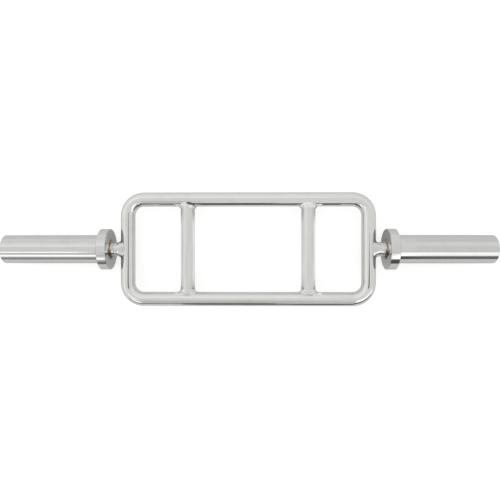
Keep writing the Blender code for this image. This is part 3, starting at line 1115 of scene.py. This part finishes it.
class TRICEPS_OT_end_fastening(PieceOperator):
    """Make the bolt and the washers inside each sleeve's open end"""

    bl_idname = "triceps.end_fastening"
    bl_label = "End Bolts and Washers"

    def execute(self, context):
        slot = "zinc_plate"
        material = self.finishes[slot]
        washer = self.washer_outline(end_washer_low.x, end_washer_high.x, washer_radius)
        makers = {
            "spring_washer": (self.spring_washer_mesh, "lock_washer"),
            "hex_bolt": (self.bolt_mesh, "end_bolt"),
        }
        for side in SIDES:
            self.turn(
                side, "flat_washer", washer, WASHER_EDGE, "frame", slot, "end_washer", SMALL_STEPS
            )
            for part, (maker, node) in makers.items():
                name = f"{side}_{part}"
                mesh = maker(name, SIDES[side])
                piece(name, mesh, "frame", material, f"{side}_{node}")
            thrust_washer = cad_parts[f"{side}_thrust_washer"].data
            thrust_washer.materials.clear()
            thrust_washer.materials.append(material)
        return {"FINISHED"}

    def washer_outline(self, low, high, radius):
        return [(low, bolt_hole_radius), (low, radius), (high, radius), (high, bolt_hole_radius)]

    def spring_washer_mesh(self, name, side):
        """A split ring of square wire, pressed almost flat."""
        outline = self.washer_outline(lock_washer_low.x, lock_washer_high.x, lock_washer_radius)
        corners = rounded(outline, WIRE_EDGE)
        shape = bmesh.new()
        rings = []
        for step in range(RING_STEPS + 1):
            angle = SLIT / 2 + (2 * pi - SLIT) * step / RING_STEPS
            places = [turned_point(side * x, r, angle) for x, r in corners]
            rings.append([shape.verts.new(place) for place in places])
        bridge(shape, rings, closed=False)
        shape.faces.new(rings[0])
        shape.faces.new(rings[-1])
        return closed_mesh(name, shape, radians(50))

    def bolt_mesh(self, name, side):
        """A hexagon head with a turned crown, and its shank."""
        flats = bolt_head_corner * cos(pi / 6)
        crown = flats * CROWN_SHARE
        start, end = lock_washer_high.x + GAP, bolt_high.x
        shank = bolt_hole_radius - GAP
        outline = [
            (bolt_low.x, 0.0),
            (bolt_low.x, shank),
            (start, shank),
            (start, crown),
            (start + 0.0004, crown),
            lambda a: (start + 0.0005, hexagon(a, flats)),
            lambda a: (end - (hexagon(a, flats) - crown) * tan(pi / 6), hexagon(a, flats)),
            (end, crown),
            (end, 0.0),
        ]
        return turned_mesh(name, outline, side, RING_STEPS, radians(24))


# Stage


# The floor: its tint and its glow where it is mirrored and where the camera sees it
FLOOR_CORNERS = ((-6.0, -0.62), (6.0, -0.62), (6.0, 6.0), (-6.0, 6.0))
MIRRORED_TINT = 0.55
MIRRORED_GLOW = 0.47
SEEN_TINT = 0.40
SEEN_GLOW = 0.70

# The light and the camera
WHITE = (1.0, 1.0, 1.0, 1.0)
WARM_WHITE = (1.0, 0.995, 0.98, 1.0)
BLACK = (0.0, 0.0, 0.0, 1.0)
LAMP_PLACE = (-0.5, 0.5, 1.5)
LAMP_SIZE = (1.4, 1.0)
LAMP_WATTS = 3.0
CAMERA_LEAN = atan(0.0137)
CAMERA_AIM = (0.0036, -0.0014)
STUDIO_LEVEL = 1.1

# Soft boxes and gaps: degrees of lean towards +X, degrees round towards -Y, softness, brightness
STUDIO_PATCHES = (
    ((-90, 12), (-130, -15), 8, 1.20),
    ((12, 60), (-62, -24), 5, 1.22),
    ((14, 60), (-130, -62), 5, 1.04),
    ((-90, 9), (-52, -17), 5, 1.31),
    ((-40, -16), (-37, -18), 2.5, 1.42),
    ((-64, -38), (-30, 40), 5, 1.38),
    ((-34, -16), (-12, 17), 3, 1.18),
    ((-36, -19.5), (21, 30), 1.2, 2.1),
    ((-20, -14), (19, 31), 2, 1.0),
    ((-40, -14), (31, 39), 1.5, 0.93),
    ((-40, -16), (48, 62), 1.5, 2.12),
    ((-50, -15), (63.5, 76), 1.5, 0.74),
    ((-50, -15), (76, 89), 1.5, 0.38),
    ((-50, -15), (90, 115), 1.5, 0.6),
    ((-19.5, -15), (78, 92), 1.5, 0.24),
    ((14.5, 60), (24, 58), 2, 1.62),
    ((14.5, 60), (30.5, 43), 2.5, 2.0),
    ((14.5, 18.5), (-90, 15), 2, 1.22),
    ((14.5, 18.5), (38, 56), 2, 2.25),
    ((14, 60), (58, 87), 1.5, 0.24),
    ((14, 18.5), (64, 92), 2, 0.12),
    ((14, 60), (88, 115), 1.5, 1.0),
    ((-10, 3), (66, 115), 1.5, 0.14),
    ((3, 14), (73, 115), 2, 0.14),
    ((-17, -7), (30, 60), 3, 0.86),
    ((-16, -10), (64, 86), 2, 0.42),
    ((-16, -10), (86, 115), 2, 0.7),
)

# Cards that glow only in the plating's reflections, and paint light and shade there: a painted
# shadow under the necks, pale painted floor beside the handles, painted shade over the end bars,
# a grey to pale card in front of the lower bar, and painted shade on the floor in front of it and
# behind it inside the frame
CARD_FLOOR = -0.0355


def shadow(low, high, behind, under, front):
    """The columns of a card on the floor below a neck, with its level at three depths; it paints
    the neck's shadow into the plating's reflections.
    """
    reach = ((0.037, behind), (0.0, under), (-0.037, front))
    return [[(x, y, CARD_FLOOR, level) for y, level in reach] for x in (low, high)]


def standing(x, top, level, facing):
    """The columns of a pale card beside a handle, which faces towards +X or -X; it paints bright
    floor into the plating's reflections.
    """
    ends = ((-0.068, 0.9), (-0.05, level), (0.045, level), (0.068, 0.6))
    return [[(x, y, z, grey) for z in (-0.021, top)[::-facing]] for y, grey in ends]


def inner_wall(x, level):
    """A column of the dark card inside the frame, behind the lower bar; it paints shade into the
    plating's reflections.
    """
    return [(x, -0.0735, z, level) for z in (CARD_FLOOR, 0.0105)]


CARDS = {
    # Painted shadow: grey cards below the necks
    "left_neck_card": shadow(-0.2425, -0.2245, 0.65, 0.5, 0.8),
    "right_neck_card": shadow(0.2245, 0.2425, 0.55, 0.45, 0.85),
    # Painted reflections: pale cards beside the handles
    "left_window_card": standing(-0.132, 0.010, 1.2, 1),
    "middle_left_card": standing(-0.080, 0.009, 1.35, -1),
    "middle_right_card": standing(0.080, 0.009, 1.15, 1),
    "right_window_card": standing(0.132, 0.010, 1.45, -1),
    # Painted shade: dark cards over the end bars
    "left_card": (
        ((-0.2047, -0.068, 0.022, 0.05), (-0.2079, -0.068, 0.03, 0.05)),
        ((-0.2025, 0.064, 0.026, 0.2), (-0.2038, 0.064, 0.03, 0.2)),
    ),
    "right_card": (
        ((0.2123, -0.068, 0.03, 0.05), (0.2070, -0.068, 0.022, 0.05)),
        ((0.2119, 0.03, 0.03, 0.35), (0.2109, 0.03, 0.028, 0.35)),
    ),
    # Painted reflection: a grey to pale card in front of the lower bar
    "front_card": (
        ((-0.29, -0.47, 0.2155, 0.74), (-0.215, -0.13, 0.092, 0.87), (-0.208, -0.1, 0.08, 0.98)),
        ((0.0, -0.47, 0.2155, 0.62), (0.0, -0.13, 0.092, 0.80), (0.0, -0.1, 0.08, 1.08)),
        ((0.29, -0.47, 0.2155, 0.68), (0.215, -0.13, 0.092, 0.96), (0.208, -0.1, 0.08, 1.15)),
    ),
    # Painted shade: dark cards on the floor in front of the lower bar and behind it inside the
    # frame
    "floor_card": [[(x, y, CARD_FLOOR, 0.2) for y in (-0.25, -0.62)] for x in (-0.15, 0.24)],
    "inner_card": [inner_wall(-0.19, 0.3), inner_wall(-0.15, 0.10), inner_wall(0.19, 0.04)],
}


class TRICEPS_OT_stage(PieceOperator):
    """Set up the pale floor, the studio light and the camera above the bar"""

    bl_idname = "triceps.stage"
    bl_label = "Floor, Light and Camera"

    def execute(self, context):
        studio = context.scene.triceps_bar_studio
        self.floor(studio)
        self.world(context.scene, studio)
        self.lamp()
        for name, columns in CARDS.items():
            self.card(name, columns)
        self.camera(context.scene, studio)
        context.scene.view_settings.view_transform = "Standard"
        return {"FINISHED"}

    def floor(self, studio):
        """A pale floor, plain white to the camera except where the bar shades it."""
        shape = bmesh.new()
        shape.faces.new([shape.verts.new((x, y, 0.0)) for x, y in FLOOR_CORNERS])
        mesh = plain_mesh("floor", shape)
        floor = new_object("floor", mesh)
        floor.location.z = -collar_radius
        material, tree, surface = new_finish("floor")
        rays = add(tree, "ShaderNodeLightPath").outputs
        seen = rays["Is Camera Ray"]
        mirrored = math(tree, "MAXIMUM", rays["Is Glossy Ray"], rays["Is Transmission Ray"])
        tint = studio.floor_colour
        for kind, share in ((mirrored, MIRRORED_TINT), (seen, SEEN_TINT)):
            tint = mixed(tree, kind, tint, [share * c for c in studio.floor_colour])
        glow = plus(tree, times(tree, seen, SEEN_GLOW), mirrored, MIRRORED_GLOW)
        feed(tree, surface, {"Base Color": tint, "Roughness": 0.9, "Specular IOR Level": 0.0})
        feed(tree, surface, {"Emission Color": WHITE, "Emission Strength": glow})
        mesh.materials.append(material)

    def world(self, scene, studio):
        """A pale studio with soft boxes and dark gaps, and white where the camera sees it.

        A place in it is given by two angles: how far it leans out of the plane X = 0
        towards +X, and how far round the X axis it lies from straight up towards -Y.
        """
        world = bpy.data.worlds.new("studio")
        scene.world = world
        world.use_nodes = True
        tree = world.node_tree
        tree.nodes.clear()
        parts = split(tree, add(tree, "ShaderNodeTexCoord").outputs["Generated"])
        lean = math(tree, "ARCSINE", parts[0])
        towards = math(tree, "ARCTAN2", times(tree, parts[1], -1.0), parts[2])
        level = STUDIO_LEVEL * studio.light
        for span, reach, soft, brightness in STUDIO_PATCHES:
            across = self.window(tree, lean, span, soft)
            along = self.window(tree, towards, reach, soft)
            change = math(tree, "SUBTRACT", brightness * studio.light, level)
            level = plus(tree, level, times(tree, across, along), change)
        lit = add(tree, "ShaderNodeBackground", {"Color": WARM_WHITE, "Strength": level})
        white = add(tree, "ShaderNodeBackground", {"Color": WHITE, "Strength": 1.0})
        seen = add(tree, "ShaderNodeLightPath").outputs["Is Camera Ray"]
        choice = {0: seen, 1: lit.outputs[0], 2: white.outputs[0]}
        shown = add(tree, "ShaderNodeMixShader", choice).outputs[0]
        add(tree, "ShaderNodeOutputWorld", {"Surface": shown})

    def window(self, tree, angle, span, soft):
        """1 within a span of degrees, falling to 0 outside it."""
        low, high, soft = radians(span[0]), radians(span[1]), radians(soft)
        rise = ramp(tree, angle, low - soft, low + soft)
        fall = ramp(tree, angle, high + soft, high - soft)
        return times(tree, rise, fall)

    def lamp(self):
        """One wide soft lamp, which gives the floor its shadow."""
        light = bpy.data.lights.new("ceiling_box", "AREA")
        light.shape = "RECTANGLE"
        light.size, light.size_y = LAMP_SIZE
        light.energy = LAMP_WATTS
        lamp = new_object("ceiling_box", light)
        lamp.location = LAMP_PLACE
        lamp.rotation_euler = Vector(LAMP_PLACE).to_track_quat("Z", "Y").to_euler()
        lamp.visible_glossy = False

    def card(self, name, columns):
        """A pale or grey card that only the plating shows, and only from its front; it glows
        though it is no lamp, and paints light and shade into the plating's reflections.

        Its columns are rows of points, each x, y, z and how bright the card is there.
        """
        shape = bmesh.new()
        grey = shape.verts.layers.float.new("grey")
        grid = []
        for column in columns:
            grid.append([shape.verts.new(point[:3]) for point in column])
            for vertex, point in zip(grid[-1], column):
                vertex[grey] = point[3]
        for first, second in zip(grid, grid[1:]):
            for i in range(len(first) - 1):
                shape.faces.new((first[i], first[i + 1], second[i + 1], second[i]))
        mesh = plain_mesh(name, shape)
        card = new_object(name, mesh)
        card.visible_camera = card.visible_diffuse = False
        card.visible_shadow = card.visible_transmission = False
        material, tree, surface = new_finish(name)
        level = add(tree, "ShaderNodeAttribute", attribute_name="grey").outputs["Fac"]
        back = add(tree, "ShaderNodeNewGeometry").outputs["Backfacing"]
        front = math(tree, "SUBTRACT", 1.0, back)
        feed(tree, surface, {"Base Color": BLACK, "Specular IOR Level": 0.0, "Alpha": front})
        feed(tree, surface, {"Emission Color": WARM_WHITE, "Emission Strength": level})
        mesh.materials.append(material)

    def camera(self, scene, studio):
        """A camera above the bar, leaning a little towards -X."""
        lens = bpy.data.cameras.new("camera")
        lens.lens = studio.lens
        lens.sensor_width = 36.0
        lens.clip_start = 0.01
        camera = new_object("camera", lens)
        aim_x, aim_y = CAMERA_AIM
        height = studio.camera_height
        camera.location = (aim_x + height * sin(CAMERA_LEAN), aim_y, height)
        camera.rotation_euler = (0.0, CAMERA_LEAN, 0.0)
        scene.camera = camera


class TRICEPS_PT_panel(bpy.types.Panel):
    """Lists the sizes, the colours and the steps"""

    bl_idname = "TRICEPS_PT_panel"
    bl_label = "Triceps Bar"
    bl_space_type = "VIEW_3D"
    bl_region_type = "UI"
    bl_category = "Triceps Bar"

    def draw(self, context):
        layout = self.layout
        for title, settings in (
            ("Sizes", context.scene.triceps_bar_sizes),
            ("Colours", context.scene.triceps_bar_colours),
            ("Studio", context.scene.triceps_bar_studio),
        ):
            box = layout.box()
            box.label(text=title)
            for name in settings.__annotations__:
                box.prop(settings, name)
        for step in STEPS:
            layout.operator(step.bl_idname)


STEPS = (
    TRICEPS_OT_loop,
    TRICEPS_OT_handles,
    TRICEPS_OT_welds,
    TRICEPS_OT_spindles,
    TRICEPS_OT_collars,
    TRICEPS_OT_tubes,
    TRICEPS_OT_bushes,
    TRICEPS_OT_end_fastening,
    TRICEPS_OT_stage,
)
CLASSES = (BarSizes, BarColours, BarStudio, *STEPS, TRICEPS_PT_panel)


def register():
    for item in CLASSES:
        bpy.utils.register_class(item)
    bpy.types.Scene.triceps_bar_sizes = bpy.props.PointerProperty(type=BarSizes)
    bpy.types.Scene.triceps_bar_colours = bpy.props.PointerProperty(type=BarColours)
    bpy.types.Scene.triceps_bar_studio = bpy.props.PointerProperty(type=BarStudio)


def unregister():
    del bpy.types.Scene.triceps_bar_studio
    del bpy.types.Scene.triceps_bar_colours
    del bpy.types.Scene.triceps_bar_sizes
    for item in reversed(CLASSES):
        bpy.utils.unregister_class(item)


def main():
    register()
    bpy.ops.triceps.loop()
    bpy.ops.triceps.handles()
    bpy.ops.triceps.welds()
    bpy.ops.triceps.spindles()
    bpy.ops.triceps.collars()
    bpy.ops.triceps.tubes()
    bpy.ops.triceps.bushes()
    bpy.ops.triceps.end_fastening()
    bpy.ops.triceps.stage()


if __name__ == "__main__":
    main()
